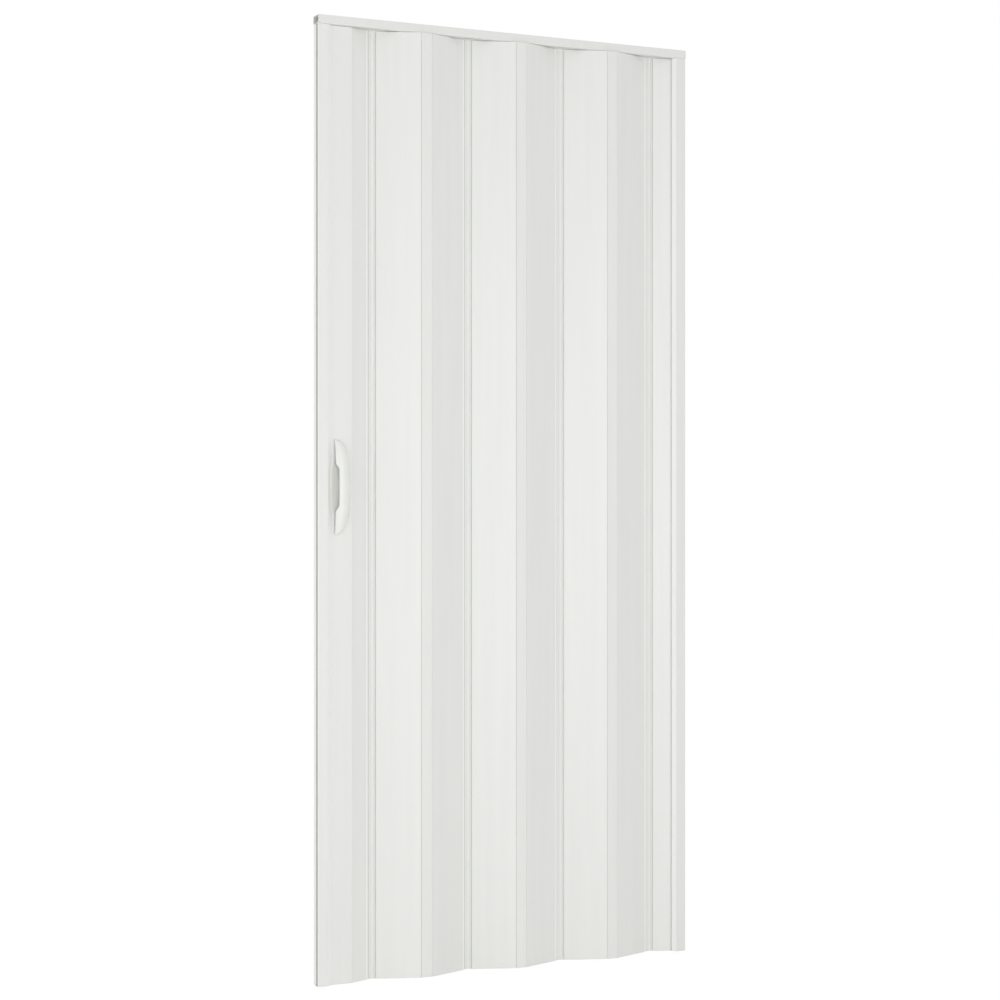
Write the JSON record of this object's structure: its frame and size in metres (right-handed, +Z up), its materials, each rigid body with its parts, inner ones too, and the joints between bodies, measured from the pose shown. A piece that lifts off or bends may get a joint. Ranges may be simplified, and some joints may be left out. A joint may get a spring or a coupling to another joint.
{
  "type": "folding door",
  "caption": "Accordion folding door of hollow plastic slats hinged by narrow joint strips, hung from a slotted head rail, with a wall jamb, a lead post and half-moon pulls.",
  "frame": {"origin": "middle of the head rail's top face, where the door is hung", "axes": "+Z up, +X towards the wall jamb, -Y towards the front of the door"},
  "size_m": [0.885, 0.0444, 2.02],
  "materials": {
    "slat_pvc": "satin",
    "joint_pvc": "satin",
    "rail_pvc": "satin",
    "handle_plastic": "satin",
    "magnet_rubber": "matt",
    "glider_plastic": "matt",
    "screw_steel": "zinc plated"
  },
  "bodies": {
    "frame": {"head_rail": "rail_pvc", "wall_jamb": "slat_pvc"},
    "wall_half_slat": {"wall_half_slat": "slat_pvc"},
    "valley_joint_1": {"valley_joint_1": "joint_pvc"},
    "slat_1": {"slat_1": "slat_pvc", "glider_1": "glider_plastic"},
    "ridge_joint_1": {"ridge_joint_1": "joint_pvc"},
    "slat_2": {"slat_2": "slat_pvc", "glider_2": "glider_plastic"},
    "valley_joint_2": {"valley_joint_2": "joint_pvc"},
    "slat_3": {"slat_3": "slat_pvc", "glider_3": "glider_plastic"},
    "ridge_joint_2": {"ridge_joint_2": "joint_pvc"},
    "slat_4": {"slat_4": "slat_pvc", "glider_4": "glider_plastic"},
    "valley_joint_3": {"valley_joint_3": "joint_pvc"},
    "slat_5": {"slat_5": "slat_pvc", "glider_5": "glider_plastic"},
    "ridge_joint_3": {"ridge_joint_3": "joint_pvc"},
    "slat_6": {"slat_6": "slat_pvc", "glider_6": "glider_plastic"},
    "valley_joint_4": {"valley_joint_4": "joint_pvc"},
    "lead_half_slat": {"lead_half_slat": "slat_pvc"},
    "lead_stile": {"handle_slat": "slat_pvc", "lead_post": "slat_pvc", "magnet_strip": "magnet_rubber", "front_handle": "handle_plastic", "back_handle": "handle_plastic", "handle_screw_1": "screw_steel", "handle_screw_2": "screw_steel", "handle_slat_glider": "glider_plastic", "post_glider": "glider_plastic"}
  },
  "joints": [
    {"name": "wall_hinge", "type": "hinge", "parent": "frame", "child": "wall_half_slat", "pos_m": [0.4196, 0, -1.01], "axis": [0, 0, -1], "range_deg": [0, 67]},
    {"name": "valley_joint_1_hinge", "type": "hinge", "parent": "wall_half_slat", "child": "valley_joint_1", "pos_m": [0.37341, 0.01724, -1.01], "axis": [0, 0, 1], "range_deg": [0, 67]},
    {"name": "slat_1_hinge", "type": "hinge", "parent": "valley_joint_1", "child": "slat_1", "pos_m": [0.35341, 0.01724, -1.01], "axis": [0, 0, 1], "range_deg": [0, 67]},
    {"name": "ridge_joint_1_hinge", "type": "hinge", "parent": "slat_1", "child": "ridge_joint_1", "pos_m": [0.26104, -0.01724, -1.01], "axis": [0, 0, -1], "range_deg": [0, 67]},
    {"name": "slat_2_hinge", "type": "hinge", "parent": "ridge_joint_1", "child": "slat_2", "pos_m": [0.24104, -0.01724, -1.01], "axis": [0, 0, -1], "range_deg": [0, 67]},
    {"name": "valley_joint_2_hinge", "type": "hinge", "parent": "slat_2", "child": "valley_joint_2", "pos_m": [0.14867, 0.01724, -1.01], "axis": [0, 0, 1], "range_deg": [0, 67]},
    {"name": "slat_3_hinge", "type": "hinge", "parent": "valley_joint_2", "child": "slat_3", "pos_m": [0.12867, 0.01724, -1.01], "axis": [0, 0, 1], "range_deg": [0, 67]},
    {"name": "ridge_joint_2_hinge", "type": "hinge", "parent": "slat_3", "child": "ridge_joint_2", "pos_m": [0.0363, -0.01724, -1.01], "axis": [0, 0, -1], "range_deg": [0, 67]},
    {"name": "slat_4_hinge", "type": "hinge", "parent": "ridge_joint_2", "child": "slat_4", "pos_m": [0.0163, -0.01724, -1.01], "axis": [0, 0, -1], "range_deg": [0, 67]},
    {"name": "valley_joint_3_hinge", "type": "hinge", "parent": "slat_4", "child": "valley_joint_3", "pos_m": [-0.07607, 0.01724, -1.01], "axis": [0, 0, 1], "range_deg": [0, 67]},
    {"name": "slat_5_hinge", "type": "hinge", "parent": "valley_joint_3", "child": "slat_5", "pos_m": [-0.09607, 0.01724, -1.01], "axis": [0, 0, 1], "range_deg": [0, 67]},
    {"name": "ridge_joint_3_hinge", "type": "hinge", "parent": "slat_5", "child": "ridge_joint_3", "pos_m": [-0.18844, -0.01724, -1.01], "axis": [0, 0, -1], "range_deg": [0, 67]},
    {"name": "slat_6_hinge", "type": "hinge", "parent": "ridge_joint_3", "child": "slat_6", "pos_m": [-0.20844, -0.01724, -1.01], "axis": [0, 0, -1], "range_deg": [0, 67]},
    {"name": "valley_joint_4_hinge", "type": "hinge", "parent": "slat_6", "child": "valley_joint_4", "pos_m": [-0.30081, 0.01724, -1.01], "axis": [0, 0, 1], "range_deg": [0, 67]},
    {"name": "lead_half_slat_hinge", "type": "hinge", "parent": "valley_joint_4", "child": "lead_half_slat", "pos_m": [-0.32081, 0.01724, -1.01], "axis": [0, 0, 1], "range_deg": [0, 67]},
    {"name": "lead_stile_hinge", "type": "hinge", "parent": "lead_half_slat", "child": "lead_stile", "pos_m": [-0.367, 0, -1.01], "axis": [0, 0, -1], "range_deg": [0, 67]}
  ],
  "couplings": [
    {"joint": "valley_joint_1_hinge", "follows": "lead_stile_hinge", "ratio": 1},
    {"joint": "slat_1_hinge", "follows": "lead_stile_hinge", "ratio": 1},
    {"joint": "ridge_joint_1_hinge", "follows": "lead_stile_hinge", "ratio": 1},
    {"joint": "slat_2_hinge", "follows": "lead_stile_hinge", "ratio": 1},
    {"joint": "valley_joint_2_hinge", "follows": "lead_stile_hinge", "ratio": 1},
    {"joint": "slat_3_hinge", "follows": "lead_stile_hinge", "ratio": 1},
    {"joint": "ridge_joint_2_hinge", "follows": "lead_stile_hinge", "ratio": 1},
    {"joint": "slat_4_hinge", "follows": "lead_stile_hinge", "ratio": 1},
    {"joint": "valley_joint_3_hinge", "follows": "lead_stile_hinge", "ratio": 1},
    {"joint": "slat_5_hinge", "follows": "lead_stile_hinge", "ratio": 1},
    {"joint": "ridge_joint_3_hinge", "follows": "lead_stile_hinge", "ratio": 1},
    {"joint": "slat_6_hinge", "follows": "lead_stile_hinge", "ratio": 1},
    {"joint": "valley_joint_4_hinge", "follows": "lead_stile_hinge", "ratio": 1},
    {"joint": "lead_half_slat_hinge", "follows": "lead_stile_hinge", "ratio": 1},
    {"joint": "wall_hinge", "follows": "lead_stile_hinge", "ratio": 1}
  ]
}
